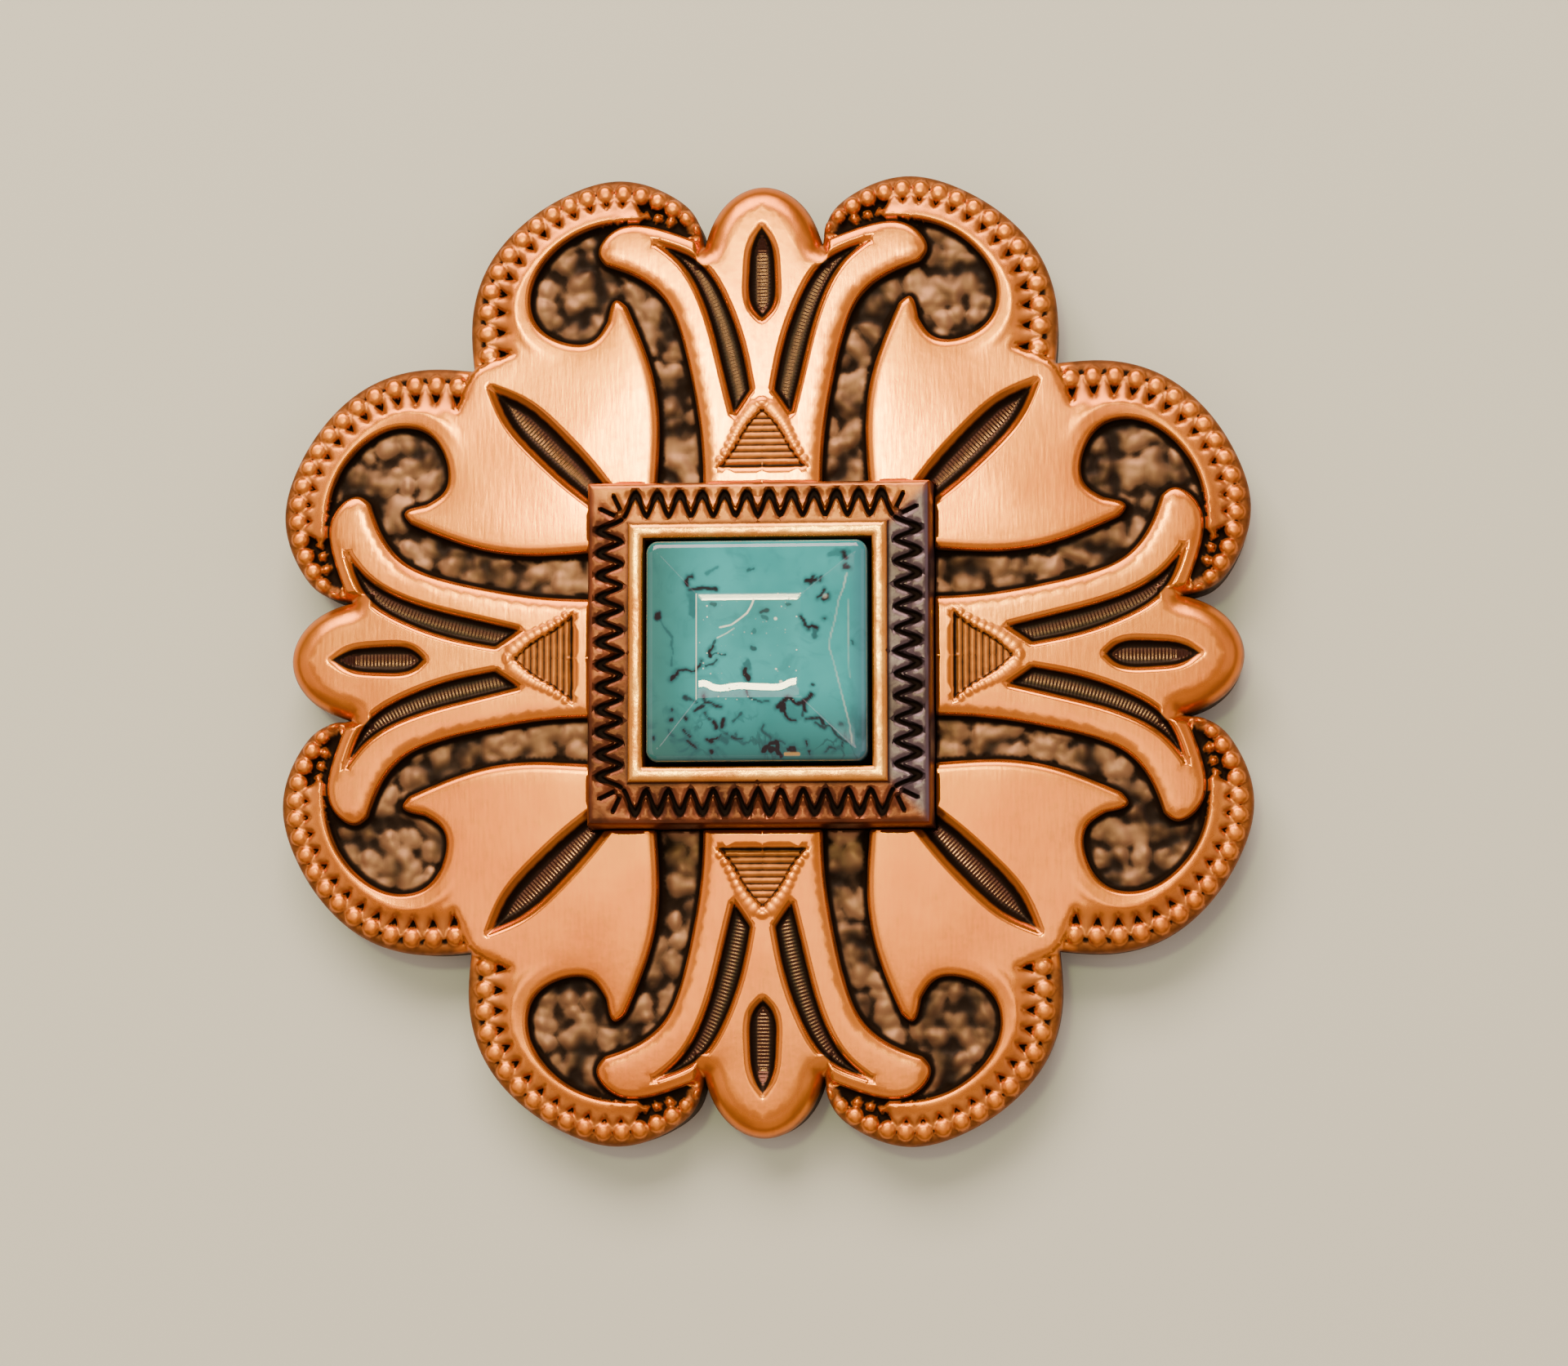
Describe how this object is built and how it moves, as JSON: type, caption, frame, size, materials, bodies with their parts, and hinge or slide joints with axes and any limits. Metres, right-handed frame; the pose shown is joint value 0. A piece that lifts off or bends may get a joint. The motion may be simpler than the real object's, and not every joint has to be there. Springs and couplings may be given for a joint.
{
  "type": "concho",
  "caption": "Round scalloped western concho in antiqued copper with cast lily and scroll relief, a square turquoise stone in a raised zigzag frame and a screw post behind.",
  "frame": {"origin": "on the post's axis, level with the back rim that the concho rests on", "axes": "+Z out of the decorated face, +Y to the top lily, +X to the right lily"},
  "size_m": [0.038, 0.038, 0.0063],
  "materials": {
    "body_metal": "antiqued copper, dark in the recesses, brushed on the raised faces",
    "frame_metal": "antiqued copper, redder and darker",
    "turquoise": "polished, blue-green with dark veins",
    "post_metal": "plain antiqued copper"
  },
  "bodies": {
    "root": {"concho_body": "body_metal", "setting_frame": "frame_metal", "stone": "turquoise", "screw_post": "post_metal"}
  },
  "joints": []
}
